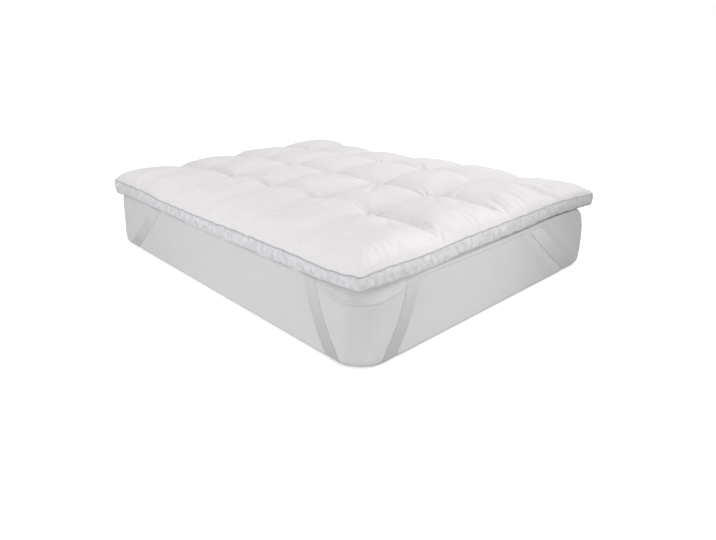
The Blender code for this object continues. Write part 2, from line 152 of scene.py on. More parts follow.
def rounded_outline(half_x, half_y, corners, pitch, corner_steps):
    """Points round a rectangle whose corners each have a radius, and the outward direction at each."""
    points, outward = [], []
    for index, (sign_x, sign_y, first_angle, radius) in enumerate(corners):
        centre = np.array((half_x - radius, half_y - radius)) * (sign_x, sign_y)
        for step in range(corner_steps + 1):
            turn = math.radians(first_angle + 90 * step / corner_steps)
            direction = np.array((math.cos(turn), math.sin(turn)))
            points.append(centre + direction * radius)
            outward.append(direction)
        next_x, next_y, _, next_radius = corners[(index + 1) % len(corners)]
        next_centre = np.array((half_x - next_radius, half_y - next_radius)) * (next_x, next_y)
        start = points[-1]
        goal = next_centre + direction * next_radius
        steps = round(2 * (half_y if sign_y != next_y else half_x) / pitch)
        for step in range(1, steps):
            points.append(start + (goal - start) * step / steps)
            outward.append(direction)
    return np.array(points), np.array(outward)


def ring_faces(rings, columns, closed=False):
    """Faces between rings of points, listed one after another, and from the last to the first if closed."""
    faces = []
    for ring in range(rings if closed else rings - 1):
        low = ring * columns
        high = (ring + 1) % rings * columns
        for column in range(columns):
            after = (column + 1) % columns
            faces.append((low + column, low + after, high + after, high + column))
    return faces


def unevenness(points, length, seed, waves=24):
    """Smooth uneven waves of about this length, mostly from -1 to 1."""
    dice = np.random.default_rng(seed)
    total = np.zeros(len(points))
    for _ in range(waves):
        direction = dice.normal(size=points.shape[1])
        direction /= np.linalg.norm(direction)
        scale = 2 * math.pi / (length * dice.uniform(*WAVE_LENGTHS))
        total += np.cos(points @ direction * scale + dice.uniform(0, 2 * math.pi))
    return total * math.sqrt(1 / waves)


def smooth_step(value):
    value = np.clip(value, 0.0, 1.0)
    return value * value * (3 - 2 * value)


def add_node(tree, kind, inputs, operation=None):
    """A new node. Each of its inputs is a value, or another node's output, which is then linked to it."""
    node = tree.nodes.new("ShaderNode" + kind)
    if operation:
        node.operation = operation
    for socket, value in inputs.items():
        if isinstance(value, bpy.types.NodeSocket):
            tree.links.new(value, node.inputs[socket])
        else:
            node.inputs[socket].default_value = value
    return node


def cloth(name, colour, weave, roughness, mottle, sheen, patches=9.0):
    """A matt cloth: an uneven tone, fine threads of the given pitch in metres, and a soft nap."""
    made = bpy.data.materials.new(name)
    made.use_nodes = True
    tree = made.node_tree
    shader = tree.nodes["Principled BSDF"]
    shader.inputs["Roughness"].default_value = roughness
    shader.inputs["Sheen Weight"].default_value = sheen
    shader.inputs["Sheen Roughness"].default_value = 0.6
    shader.inputs["Specular IOR Level"].default_value = 0.2
    place = add_node(tree, "TexCoord", {}).outputs["Object"]

    tone = add_node(tree, "TexNoise", {"Vector": place, "Scale": patches, "Detail": 4.0})
    shades = add_node(tree, "ValToRGB", {"Fac": tone.outputs["Fac"]})
    dark, light = shades.color_ramp.elements
    dark.position = 0.3
    light.position = 0.7
    dark.color = (*(c * (1 - mottle) for c in colour), 1)
    light.color = (*(min(1.0, c * (1 + mottle)) for c in colour), 1)
    tree.links.new(shades.outputs["Color"], shader.inputs["Base Color"])

    pitch_scale = WAVE_BAND / weave
    relief = add_node(tree, "TexNoise", {"Vector": place, "Scale": 0.35 / weave}).outputs["Fac"]
    for axis in "XYZ":
        thread = add_node(tree, "TexWave", {"Vector": place, "Scale": pitch_scale, "Distortion": 0.6})
        thread.bands_direction = axis
        relief = add_node(tree, "Math", {0: relief, 1: thread.outputs["Fac"]}, "ADD").outputs["Value"]
    bump = add_node(tree, "Bump", {"Strength": 0.25, "Distance": weave / 4, "Height": relief})
    tree.links.new(bump.outputs["Normal"], shader.inputs["Normal"])
    return made


def cover_outline(height):
    """The mattress's rounded rectangle at a height."""
    corners = []
    turn_in = 1 - math.sqrt(1 - max(0.0, 1 - height / FOOT_CURVE) ** 2)
    for sign_x, sign_y, first_angle, on_floor, at_foot, at_top, lateness in MATTRESS_CORNERS:
        radius = at_foot + (at_top - at_foot) * (height / FULL_HEIGHT) ** lateness
        radius += (on_floor - at_foot) * turn_in
        corners.append((sign_x, sign_y, first_angle, radius))
    return rounded_outline(mattress_high.x, mattress_high.y, corners, COVER_PITCH, COVER_CORNER_STEPS)


def front_swell(x, y):
    """How far the mattress's top swells up at points near its front edge."""
    along = np.exp(-(((x - FRONT_SWELL_PLACE) / FRONT_SWELL_HALF) ** 2))
    return FRONT_SWELL * along * (1 - smooth_step((y + mattress_high.y) / FRONT_SWELL_REACH))


_, mattress_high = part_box("mattress")

# Rings from the middle of the underside to the middle of the top: (part of the cover, inset, height, how
# far the surface faces outwards, how far it faces up)
cover_rings = [("underside", inset, 0.0, 0.0, -1.0) for inset in COVER_UNDERSIDE]
for step in range(COVER_FOOT_STEPS + 1):
    turn = math.pi / 2 * step / COVER_FOOT_STEPS
    inset = MATTRESS_FOOT * (1 - math.sin(turn))
    height = MATTRESS_FOOT * (1 - math.cos(turn))
    cover_rings.append(("foot", inset, height, math.sin(turn), -math.cos(turn)))
side_top = SHOULDER_START - CORDED_EDGE[0][0]
for step in range(1, COVER_SIDE_ROWS):
    height = MATTRESS_FOOT + (side_top - MATTRESS_FOOT) * step / COVER_SIDE_ROWS
    cover_rings.append(("side", 0.0, height, 1.0, 0.0))
for below, out in CORDED_EDGE:
    cover_rings.append(("edge", -out, SHOULDER_START - below, 1.0, 0.0))
for step in range(1, COVER_SHOULDER_STEPS + 1):
    turn = math.pi / 2 * step / COVER_SHOULDER_STEPS
    height = SHOULDER_START + (FULL_HEIGHT - SHOULDER_START) * math.sin(turn)
    inset = SHOULDER_DEPTH * (1 - math.cos(turn)) + EDGE_SET_BACK * math.cos(turn)
    cover_rings.append(("shoulder", inset, height, math.cos(turn), math.sin(turn)))
cover_rings += [("top", inset, FULL_HEIGHT, 0.0, 1.0) for inset in COVER_TOP]

cover_points, cover_normals = [], []
edge_out, shoulder_in, set_back = [], [], []
for part, inset, height, out, up in cover_rings:
    outline, outward = cover_outline(height)
    even_inset = min(inset, COVER_EVEN_INSET)
    ring = outline - outward * even_inset
    ring *= 1 - (inset - even_inset) / mattress_high.x
    cover_points.append(np.column_stack((ring, np.full(len(ring), height))))
    cover_normals.append(np.column_stack((outward * out, np.full(len(ring), up))))
    over_edge = part in ("shoulder", "top")
    edge_out.append(-inset if part == "edge" else 0.0)
    shoulder_in.append(min(inset, SHOULDER_DEPTH) if over_edge else 0.0)
    set_back.append(EDGE_SET_BACK * out if over_edge else 0.0)
cover_points = np.concatenate(cover_points)
cover_normals = np.concatenate(cover_normals)
cover_outward = np.tile(outward, (len(cover_rings), 1))
ridge, inwards, set_back = (np.repeat(n, len(outline)) for n in (edge_out, shoulder_in, set_back))

# The edge sags at the corners and runs higher along the sides. It stands out the most at the near and far
# corners, and lies flat by the other two.
from_corner = np.hypot(
    np.abs(cover_points[:, 0]) - mattress_high.x, np.abs(cover_points[:, 1]) - mattress_high.y
)
by_plain_corner = cover_points[:, 0] * cover_points[:, 1] < 0
sag_start = np.where(by_plain_corner, PLAIN_SAG_START, EDGE_SAG_START)
sag_end = np.where(by_plain_corner, PLAIN_SAG_END, EDGE_SAG_END)
along_sides = smooth_step((from_corner - sag_start) / (sag_end - sag_start))
side_share = np.clip((cover_points[:, 2] - MATTRESS_FOOT) / (SHOULDER_START - MATTRESS_FOOT), 0, 1)
over_share = np.clip((FULL_HEIGHT - cover_points[:, 2]) / (FULL_HEIGHT - SHOULDER_START), 0, 1)
cover_points[:, 2] += EDGE_LIFT * along_sides * side_share**2 * over_share
cover_points[:, 2] += front_swell(cover_points[:, 0], cover_points[:, 1]) * side_share**2
quite_flat = by_plain_corner * smooth_step((PLAIN_END - from_corner) / (PLAIN_END - PLAIN_START))
plain = np.maximum(EDGE_FLATNESS * along_sides, quite_flat)
outwards = inwards * TIGHT_SHOULDER * along_sides - ridge * plain
outwards += set_back * quite_flat * (1 - along_sides)
cover_points[:, :2] += cover_outward * outwards[:, None]
ridge *= 1 - plain

upright = cover_normals[:, 2] ** 2 < 0.5  # steeper than 45 degrees
bagging = (unevenness(cover_points, COVER_SLACK_LENGTH, COVER_SLACK_SEED) - 1) * COVER_SLACK
crease_x, crease_y = CORNER_CREASE_PLACE
crease_foot, crease_top = CORNER_CREASE_ENDS
crease_off = np.hypot(cover_points[:, 0] - crease_x, cover_points[:, 1] - crease_y)
crease_up = smooth_step(cover_points[:, 2] / crease_foot)
crease_up *= smooth_step((side_top - cover_points[:, 2]) / crease_top)
bagging -= CORNER_CREASE * np.exp(-((crease_off / CORNER_CREASE_WIDTH) ** 2)) * crease_up
cover_points += cover_normals * np.where(upright, bagging, 0.0)[:, None]

for node in [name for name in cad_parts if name.startswith("strap_")]:
    strap_surface = surface_of(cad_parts[node].data)
    for index, point in enumerate(cover_points):
        distance = strap_surface.find_nearest(Vector(point), STRAP_DENT_LIMIT)[3]
        if distance is None:
            continue
        downwards = max(0.0, -cover_normals[index, 2])
        dent = STRAP_DENT_SIDE + (STRAP_DENT_BELOW - STRAP_DENT_SIDE) * downwards
        beside = max(0.0, distance - STRAP_TOUCH)
        near = math.exp(-((beside / STRAP_DENT_REACH) ** STRAP_DENT_FALL))
        depth = (dent + (bagging[index] + ridge[index]) * upright[index]) * near
        off_swell = (beside - STRAP_SWELL_AT) / (STRAP_SWELL_SPREAD * STRAP_SWELL_AT)
        swell = STRAP_SWELL * math.exp(-(off_swell**2)) * (1 - downwards) * upright[index]
        cover_points[index] += cover_normals[index] * (swell - depth)

cover_faces = ring_faces(len(cover_rings), len(outline))
cover_faces.append(tuple(range(len(outline)))[::-1])
cover_faces.append(tuple(range(len(cover_points) - len(outline), len(cover_points))))
mattress_cloth = cloth("mattress knit", KNIT_GREY, KNIT_PITCH, 0.9, mottle=0.015, sheen=0.05)
mattress_cover = object_of("mattress_cover", cover_points, cover_faces, mattress_cloth)
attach(mattress_cover, "root")
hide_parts("mattress")

# ==== The topper's pad ====
# A brushed microfibre cover, filled with soft fibre and box quilted into puffs. It is deepest where the
# quilting crosses, and the cloth gathers there, along the channels and along the outer seam.

PUFFS_ACROSS = 4
PUFFS_ALONG = 6
CELLS_ACROSS = 32  # in half of a puff
CELLS_ALONG = 27
MICROFIBRE_WHITE = (0.80, 0.775, 0.785)
MICROFIBRE_PITCH = 0.0011
STITCH_HEIGHT = 0.380
PUFF_FULLNESS = 2.6  # higher is flatter across the middle
PUFF_ROUNDNESS = 0.66  # lower is steeper at the stitching
SOFT_FULLNESS = 3.0  # the same two for a channel between two stitched points, where nothing holds it down
SOFT_ROUNDNESS = 1.2
SOFTENING = 1.3
RIM_FULLNESS = 3.0
RIM_ROUNDNESS = 0.50
PAD_INSET = 0.0034  # from the seam line to the pad's side, behind the band
PAD_TOP_INSET = 0.0016  # from the seam line to the edge of its top
PAD_CLEARANCE = 0.0006  # over the mattress
TINY = 1e-9  # keeps a division by zero away
TOPPER_CORNER = 0.014
BAND_BULGE = 0.005
PAD_SIDE_ROWS = 4
UNDERSIDE_RINGS = ((0.010, 0.0015), (0.022, 0.0015), (0.040, 0.0010), (0.070, 0.0004))  # (inset, clearance)
UNDERSIDE_DROP = 0.024  # how far in from the seam the pad comes to rest on the mattress

# Height of each length of channel between two stitched points, as a share of the crowns beside it: a row for
# each channel. Those along the bed go from its -X side on, and those across it from its -Y end on.
CHANNELS_ALONG = (
    (0.58, 0.80, 0.76, 0.74, 0.50, 0.54),
    (0.58, 0.54, 0.58, 0.66, 0.60, 0.54),
    (0.60, 0.54, 0.54, 0.58, 0.62, 0.60),
)
CHANNELS_ACROSS = (
    (0.80, 0.42, 0.42, 0.50),
    (0.62, 0.50, 0.46, 0.54),
    (0.62, 0.70, 0.66, 0.54),
    (0.62, 0.56, 0.54, 0.54),
    (0.62, 0.54, 0.62, 0.60),
)

# How far the channels lie off an even grid: (metres across, shift of the channel, shift of what crosses it
# at the bed's -Y end, the same at its +Y end, how far the channel leans in the last puffs at that end)
QUILT_DRIFT = np.array(
    (
        (-0.80, 0.000, 0.000, 0.000, 0.000),
        (-0.40, -0.028, 0.012, 0.002, -0.045),
        (0.00, -0.028, 0.035, 0.060, -0.070),
        (0.40, 0.030, 0.105, 0.095, -0.130),
        (0.80, 0.000, 0.020, 0.100, 0.000),
    )
)
DRIFT_HOLD = 8  # higher keeps the drift closer to the seams at the bed's two ends, where it stops
LEAN_START = 0.60  # where the channels begin to lean, as a share of half of the bed's length

RIM_PUCKER_PITCH = 0.027
RIM_PUCKER_HEIGHT = 0.0013
RIM_PUCKER_REACH = 0.026
RIM_PUCKER_SEED = 200
RIM_HOLD = 0.006  # the cloth is held flat over this distance from the outer seam
CHANNEL_PUCKER_PITCH = 0.030
CHANNEL_PUCKER_HEIGHT = 0.0010
CHANNEL_PUCKER_REACH = 0.016
CHANNEL_PUCKER_SEED = 100
ALONG_PUFFS_SEED = 20  # more, where the channel or the seam runs across the bed
PUCKER_FAN = 0.4  # how much the puckers spread with each metre from their seam
GATHER_WANDER = 2.2  # how far gathered folds shift to and fro, in radians of their wave
GATHER_WANDER_LENGTH = 5  # in folds
GATHER_BUNCH_LENGTH = 7
GATHER_BUNCH_MEAN = 0.55  # height of the folds, and how much it swings from bunch to bunch
GATHER_BUNCH_SWING = 0.5
CROWS_FOOT_FOLDS = 11
CROWS_FOOT_HEIGHT = 0.0030
CROWS_FOOT_REACH = 0.034
CROWS_FOOT_LIMIT = 6  # in reaches: there are no such folds further from the crossing
CROWS_FOOT_CHANGE = 4  # how fast the folds change outwards
CROWS_FOOT_SEED = 300
CORNER_SLUMP = 0.08  # how much flatter the pad is at the right corner
CORNER_SLUMP_REACH = 0.28
CORNER_MITRE = 0.7  # how sharply the puff at the near corner folds along its diagonal, from 0 to 1
SOFTNESS = ((0.19, 0.0030, 21), (0.075, 0.0012, 22))  # (length, height, seed) of the filling's lumps

SEAM_SAMPLES = 401
SEAM_SMOOTHING = 9  # samples on each side
SEAM_WAVER = 0.0011  # the gathered cloth lets the seam wander up and down
SEAM_WAVER_LENGTH = 0.085
SEAM_WAVER_START = 0.06  # distance from a corner
SEAM_WAVER_SEED = 31
FRAME_CORD_RADIUS = 0.0028
FRAME_CORD_GAP = 0.02  # more than the width of a ring of the frame's cord, and less than from ring to ring

CREASE_END = 0.6  # a crease's height at its ends, as a share of that in its middle
# The creases that stand out: (one end's X and Y, the other end's, height, half of the width)
CREASES = (
    (-0.543, -0.477, -0.405, -0.399, -0.0060, 0.014),
    (-0.264, -0.497, -0.060, -0.352, -0.0060, 0.014),
    (-0.130, -0.450, 0.000, -0.352, -0.0035, 0.009),
    (-0.200, -0.787, 0.020, -0.665, -0.0060, 0.020),
    (-0.008, -0.752, 0.150, -0.690, -0.0040, 0.012),
    (-0.300, -0.773, -0.210, -0.800, -0.0035, 0.010),
    (-0.412, -0.676, -0.361, -0.646, -0.0040, 0.010),
    (-0.447, -0.767, -0.500, -0.828, -0.0035, 0.012),
    (-0.420, 0.340, -0.530, 0.170, -0.0040, 0.014),
    (-0.197, 0.136, -0.040, 0.280, 0.0040, 0.020),
    (-0.740, -0.515, -0.785, -0.541, -0.0030, 0.010),
    (-0.760, -0.600, -0.795, -0.619, -0.0030, 0.009),
    (-0.600, -0.960, -0.622, -0.992, -0.0030, 0.008),
    (-0.474, -0.945, -0.487, -0.990, -0.0030, 0.009),
)

# The folds that rise from the front seam: (place along it, height, half of the width, reach)
FRONT_FOLDS = (
    (-0.052, -0.0044, 0.008, 0.075),
    (-0.012, 0.0036, 0.010, 0.055),
    (0.026, -0.0056, 0.009, 0.065),
    (0.070, 0.0030, 0.012, 0.060),
    (0.120, -0.0034, 0.010, 0.060),
    (0.172, -0.0056, 0.012, 0.075),
    (0.245, 0.0056, 0.016, 0.100),
    (0.330, -0.0040, 0.014, 0.075),
    (0.408, -0.0058, 0.012, 0.075),
    (0.440, 0.0038, 0.010, 0.060),
    (0.487, -0.0056, 0.012, 0.070),
    (0.560, -0.0040, 0.014, 0.060),
)
FRONT_FOLD_LEAN = 0.25  # sideways for each metre from the seam


def seam_on_side(node, axis, sign):
    """(positions along one side, height of the seam there), from the rings of a cord in the frame."""
    cord = np.array([v.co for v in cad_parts[node].data.vertices])
    edge = np.abs(cord[:, axis]).max() - TOPPER_CORNER
    ring_points = cord[cord[:, axis] * sign > edge]
    ring_points = ring_points[np.argsort(ring_points[:, 1 - axis])]
    breaks = np.flatnonzero(np.diff(ring_points[:, 1 - axis]) > FRAME_CORD_GAP) + 1
    rings = np.split(ring_points, breaks)
    places = np.array([(ring.min(axis=0) + ring.max(axis=0)) / 2 for ring in rings])
    even = np.linspace(places[0, 1 - axis], places[-1, 1 - axis], SEAM_SAMPLES)
    heights = np.interp(even, places[:, 1 - axis], places[:, 2])
    window = np.hanning(2 * SEAM_SMOOTHING + 1)
    lengthened = np.pad(heights, SEAM_SMOOTHING, mode="edge")
    return even, np.convolve(lengthened, window / window.sum(), mode="valid")


_, cord_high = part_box("top_piping")
rim_x = cord_high.x - FRAME_CORD_RADIUS
rim_y = cord_high.y - FRAME_CORD_RADIUS
seams_in_frame = {}
for seam in ("top", "bottom"):
    for axis in (0, 1):
        for sign in (-1, 1):
            seams_in_frame[seam, axis, sign] = seam_on_side(seam + "_piping", axis, sign)


def seam_waver(seam, axis, sign, along):
    """How far the seam wanders off its height. It holds still at the corners."""
    seed = SEAM_WAVER_SEED + ("top", "bottom").index(seam) + 2 * axis + 5 * sign
    half = (rim_y, rim_x)[axis]
    hold = smooth_step((half - np.abs(along)) / SEAM_WAVER_START)
    return unevenness(along[:, None], SEAM_WAVER_LENGTH, seed) * SEAM_WAVER * hold


def seam_height(seam, x, y):
    """Height of a seam at the point of the rim next to (x, y)."""
    to_x = (rim_x - np.minimum(np.abs(x), rim_x)) ** 2
    to_y = (rim_y - np.minimum(np.abs(y), rim_y)) ** 2
    share = np.where(to_x + to_y < TINY, 0.5, to_y / np.maximum(to_x + to_y, TINY))
    total = np.zeros(len(x))
    for axis, part in ((0, share), (1, 1 - share)):
        across, along = ((x, y), (y, x))[axis]
        for sign in (-1, 1):
            chosen = np.sign(across) == sign
            heights = np.interp(along, *seams_in_frame[seam, axis, sign])
            heights += seam_waver(seam, axis, sign, along)
            total += np.where(chosen, heights * part, 0.0)
    return total


def drifted(x, y):
    """Where points of the even quilting grid really lie."""
    row = np.clip(np.searchsorted(QUILT_DRIFT[:, 0], x) - 1, 0, len(QUILT_DRIFT) - 2)
    low, high = QUILT_DRIFT[row], QUILT_DRIFT[row + 1]
    share = smooth_step((x - low[:, 0]) / (high[:, 0] - low[:, 0]))
    shift_x, shift_near, shift_far, lean = (low + (high - low) * share[:, None])[:, 1:].T
    along = y / rim_y
    hold = 1 - along**DRIFT_HOLD
    shift_y = shift_near + (shift_far - shift_near) * (along + 1) / 2
    leaning = lean * smooth_step((along - LEAN_START) / (1 - LEAN_START))
    return x + shift_x * hold + leaning, y + shift_y * hold


def rounded_plan(x, y, outset):
    """Points of the rim's rectangle with its corners rounded, moved outwards where they are on the edge."""
    core_x, core_y = rim_x - TOPPER_CORNER, rim_y - TOPPER_CORNER
    inner = np.column_stack((np.clip(x, -core_x, core_x), np.clip(y, -core_y, core_y)))
    arm = np.column_stack((x, y)) - inner
    length = np.maximum(np.linalg.norm(arm, axis=1, keepdims=True), TINY)
    reach = np.abs(arm).max(axis=1, keepdims=True) / TOPPER_CORNER
    return inner + arm / length * reach * (TOPPER_CORNER + outset)


def within_puff(position, half_size, puffs):
    """(puff, place in it from -1 to 1, whether that looks towards the outer seam, share of the way in)."""
    along = (position + half_size) / (2 * half_size) * puffs
    puff = np.clip(along.astype(int), 0, puffs - 1)
    place = 2 * (along - puff) - 1
    at_rim = ((puff == 0) & (place < 0)) | ((puff == puffs - 1) & (place > 0))
    share = np.ones(len(position))
    share = np.where(puff == 0, (place + 1) / 2, share)
    share = np.where(puff == puffs - 1, (1 - place) / 2, share)
    return puff, place, at_rim, share


def fullness_at(place, at_rim):
    """How full a puff is across: 1 in the middle, 0 at its stitching, steepest at the outer seam."""
    inside = np.clip(1 - np.abs(place) ** PUFF_FULLNESS, 0, 1) ** PUFF_ROUNDNESS
    outside = np.clip(1 - np.abs(place) ** RIM_FULLNESS, 0, 1) ** RIM_ROUNDNESS
    return np.where(at_rim, outside, inside)


def net_height(x, y, inner):
    """The level of the stitching under points of the even quilting grid, which falls to the outer seam."""
    return seam_height("top", *drifted(x, y)) * (1 - inner) + STITCH_HEIGHT * inner


def crown_rises():
    """How far each puff's crown in the frame rises over its stitching, in rows along +Y."""
    pad_surface = surface_of(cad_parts["topper_pad"].data)
    rises = np.zeros((PUFFS_ALONG, PUFFS_ACROSS))
    for row in range(PUFFS_ALONG):
        for column in range(PUFFS_ACROSS):
            x = np.array([-rim_x + 2 * rim_x * (column + 0.5) / PUFFS_ACROSS])
            y = np.array([-rim_y + 2 * rim_y * (row + 0.5) / PUFFS_ALONG])
            inner = within_puff(x, rim_x, PUFFS_ACROSS)[3] * within_puff(y, rim_y, PUFFS_ALONG)[3]
            real_x, real_y = drifted(x, y)
            hit = pad_surface.ray_cast(Vector((real_x[0], real_y[0], 1.0)), Vector((0, 0, -1)))[0]
            rises[row, column] = hit.z - net_height(x, y, inner)[0]
    return rises


def between_outer_seams(channels):
    """A row for each channel, with a row of zeros for each of the two outer seams beside them."""
    outer_seam = np.zeros((1, len(channels[0])))
    return np.concatenate((outer_seam, np.array(channels), outer_seam))


crowns = crown_rises()
shares_along = between_outer_seams(CHANNELS_ALONG)
shares_across = between_outer_seams(CHANNELS_ACROSS)
rises_along = between_outer_seams((crowns[:, :-1] + crowns[:, 1:]).T / 2) * shares_along
rises_across = between_outer_seams((crowns[:-1] + crowns[1:]) / 2) * shares_across


def softened(full, place, softness):
    """A puff's fullness across, with a softer valley where nothing holds the channel down."""
    soft = np.clip(1 - np.abs(place) ** SOFT_FULLNESS, 0, 1) ** SOFT_ROUNDNESS
    return full + (soft - full) * softness


def puffed_height(x, y):
    """Height of the quilted top over points of the even quilting grid."""
    column, across, rim_across, in_x = within_puff(x, rim_x, PUFFS_ACROSS)
    row, along, rim_along, in_y = within_puff(y, rim_y, PUFFS_ALONG)
    full_x = fullness_at(across, rim_across)
    full_y = fullness_at(along, rim_along)
    line_x = column + (across > 0)
    line_y = row + (along > 0)
    loose_x = np.minimum(1, SOFTENING * shares_along[line_x, row]) * full_y
    loose_y = np.minimum(1, SOFTENING * shares_across[line_y, column]) * full_x
    soft_x = softened(full_x, across, np.where(rim_across, 0, loose_x))
    soft_y = softened(full_y, along, np.where(rim_along, 0, loose_y))
    corner = CORNER_MITRE * (rim_across & rim_along & (column == 0) & (row == 0))
    middle = soft_x * soft_y
    lift = crowns[row, column] * (middle + (np.minimum(soft_x, soft_y) - middle) * corner)
    lift += rises_along[line_x, row] * (1 - soft_x) * full_y
    lift += rises_across[line_y, column] * full_x * (1 - soft_y)
    from_right = np.hypot(x - rim_x, y + rim_y)
    lift *= 1 - CORNER_SLUMP * np.exp(-((from_right / CORNER_SLUMP_REACH) ** 2))
    return net_height(x, y, in_x * in_y) + lift


def gathers(along, pitch, seed):
    """The height of gathered cloth along a seam: folds of about this pitch, in bunches, from -1 to 1."""
    wander = unevenness(along[:, None], pitch * GATHER_WANDER_LENGTH, seed) * GATHER_WANDER
    swing = unevenness(along[:, None], pitch * GATHER_BUNCH_LENGTH, seed + 1) * GATHER_BUNCH_SWING
    return np.sin(2 * math.pi * along / pitch + wander) * smooth_step(GATHER_BUNCH_MEAN + swing)


def beside_seam(distance, reach):
    """1 at a short way off a seam, 0 on it and far from it."""
    steps = distance / reach
    return steps * np.exp(1 - steps)


def along_line(x, y, start_x, start_y, end_x, end_y, width):
    """The cross-section of a straight fold, from 1 on its line to 0 beside it and past its ends."""
    run = math.hypot(end_x - start_x, end_y - start_y)
    part = ((x - start_x) * (end_x - start_x) + (y - start_y) * (end_y - start_y)) / run**2
    off = ((x - start_x) * (end_y - start_y) - (y - start_y) * (end_x - start_x)) / run
    past = np.maximum(np.abs(part - 0.5) - 0.5, 0) * run
    middle = CREASE_END + (1 - CREASE_END) * np.sqrt(np.clip(1 - (2 * part - 1) ** 2, 0, 1))
    return middle * np.exp(-((off / width) ** 2) - (past / width) ** 2)


def creases(x, y):
    """What the gathered cloth adds to the puffs: folds that run off the seams, channels and crossings."""
    column, across, rim_across, _ = within_puff(x, rim_x, PUFFS_ACROSS)
    row, along, rim_along, _ = within_puff(y, rim_y, PUFFS_ALONG)
    off_x = (1 - np.abs(across)) * rim_x / PUFFS_ACROSS
    off_y = (1 - np.abs(along)) * rim_y / PUFFS_ALONG
    total = np.zeros(len(x))
    for off, sideways, at_rim, side in (
        (off_x, y, rim_across, column * 2 + (across > 0)),
        (off_y, x, rim_along, ALONG_PUFFS_SEED + row * 2 + (along > 0)),
    ):
        for number in np.unique(side):
            chosen = side == number
            fan = sideways[chosen] * (1 + PUCKER_FAN * off[chosen])
            at_channel = gathers(fan, CHANNEL_PUCKER_PITCH, CHANNEL_PUCKER_SEED + int(number))
            at_channel *= beside_seam(off[chosen], CHANNEL_PUCKER_REACH) * CHANNEL_PUCKER_HEIGHT
            at_outside = gathers(fan, RIM_PUCKER_PITCH, RIM_PUCKER_SEED + int(number))
            at_outside *= beside_seam(off[chosen], RIM_PUCKER_REACH) * RIM_PUCKER_HEIGHT
            total[chosen] += np.where(at_rim[chosen], at_outside, at_channel)
    for line_x in range(PUFFS_ACROSS + 1):
        for line_y in range(PUFFS_ALONG + 1):
            from_x = x + rim_x - 2 * rim_x * line_x / PUFFS_ACROSS
            from_y = y + rim_y - 2 * rim_y * line_y / PUFFS_ALONG
            distance = np.hypot(from_x, from_y)
            near = distance < CROWS_FOOT_LIMIT * CROWS_FOOT_REACH
            turn = np.arctan2(from_y[near], from_x[near])
            ring = np.column_stack((np.cos(turn), np.sin(turn), distance[near] * CROWS_FOOT_CHANGE))
            seed = CROWS_FOOT_SEED + 10 * line_y + line_x
            folds = unevenness(ring, 2 * math.pi / CROWS_FOOT_FOLDS, seed)
            total[near] += folds * beside_seam(distance[near], CROWS_FOOT_REACH) * CROWS_FOOT_HEIGHT
    real_x, real_y = drifted(x, y)
    for start_x, start_y, end_x, end_y, height, width in CREASES:
        total += along_line(real_x, real_y, start_x, start_y, end_x, end_y, width) * height
    from_front = y + rim_y
    for place, height, width, reach in FRONT_FOLDS:
        sideways = real_x - place - FRONT_FOLD_LEAN * from_front
        total += np.exp(-((sideways / width) ** 2)) * beside_seam(from_front, reach / 2) * height
    from_rim = np.minimum(rim_x - np.abs(x), rim_y - np.abs(y))
    total *= smooth_step(from_rim / RIM_HOLD)
    flat = np.column_stack((x, y))
    calm = fullness_at(across, rim_across) * fullness_at(along, rim_along)
    for length, height, seed in SOFTNESS:
        total += unevenness(flat, length, seed) * height * calm
    return total


def sheet_faces(rows, columns):
    """Faces between rows of points, listed row after row."""
    faces = []
    for row in range(rows - 1):
        for column in range(columns - 1):
            corner = row * columns + column
            faces.append((corner, corner + 1, corner + 1 + columns, corner + columns))
    return faces


grid_x = np.linspace(-rim_x, rim_x, PUFFS_ACROSS * CELLS_ACROSS * 2 + 1)
grid_y = np.linspace(-rim_y, rim_y, PUFFS_ALONG * CELLS_ALONG * 2 + 1)
columns, rows = len(grid_x), len(grid_y)
even_x, even_y = (side.ravel() for side in np.meshgrid(grid_x, grid_y))
top_plan = rounded_plan(*drifted(even_x, even_y), -PAD_TOP_INSET)
top_points = np.column_stack((top_plan, puffed_height(even_x, even_y)))
sheet = top_points.reshape(rows, columns, 3)
facing = np.cross(np.gradient(sheet, axis=1), np.gradient(sheet, axis=0)).reshape(-1, 3)
facing /= np.linalg.norm(facing, axis=1, keepdims=True)
top_points += facing * creases(even_x, even_y)[:, None]

# The pad's side behind the band, and its underside, go on from the edge of the quilted top.
grid = np.arange(rows * columns).reshape(rows, columns)
edge = np.concatenate((grid[0, :-1], grid[:-1, -1], grid[-1, :0:-1], grid[:0:-1, 0]))
edge_x, edge_y = drifted(even_x[edge], even_y[edge])
top_seam = seam_height("top", edge_x, edge_y)
bottom_seam = seam_height("bottom", edge_x, edge_y)
pad_rest = FULL_HEIGHT + PAD_CLEARANCE
side_rings = []
for step in range(1, PAD_SIDE_ROWS + 1):
    share = 1 - step / PAD_SIDE_ROWS
    plan = rounded_plan(edge_x, edge_y, BAND_BULGE * math.sin(math.pi * share) - PAD_INSET)
    side_rings.append(np.column_stack((plan, bottom_seam + (top_seam - bottom_seam) * share)))
for inset, clearance in UNDERSIDE_RINGS:
    plan = rounded_plan(edge_x, edge_y, -PAD_INSET) * (1 - inset / rim_x, 1 - inset / rim_y)
    swell = front_swell(plan[:, 0], plan[:, 1])
    share = max(0.0, 1 - inset / SHOULDER_DEPTH)
    shoulder = SHOULDER_START + (FULL_HEIGHT - SHOULDER_START) * math.sqrt(1 - share * share) + swell
    height = bottom_seam + (pad_rest + swell - bottom_seam) * min(1.0, math.sqrt(inset / UNDERSIDE_DROP))
    side_rings.append(np.column_stack((plan, np.maximum(height, shoulder + PAD_CLEARANCE + clearance))))
pad_points = np.concatenate([top_points] + side_rings)
side_numbers = [len(top_points) + len(edge) * n + np.arange(len(edge)) for n in range(len(side_rings))]
ring_numbers = [edge] + side_numbers
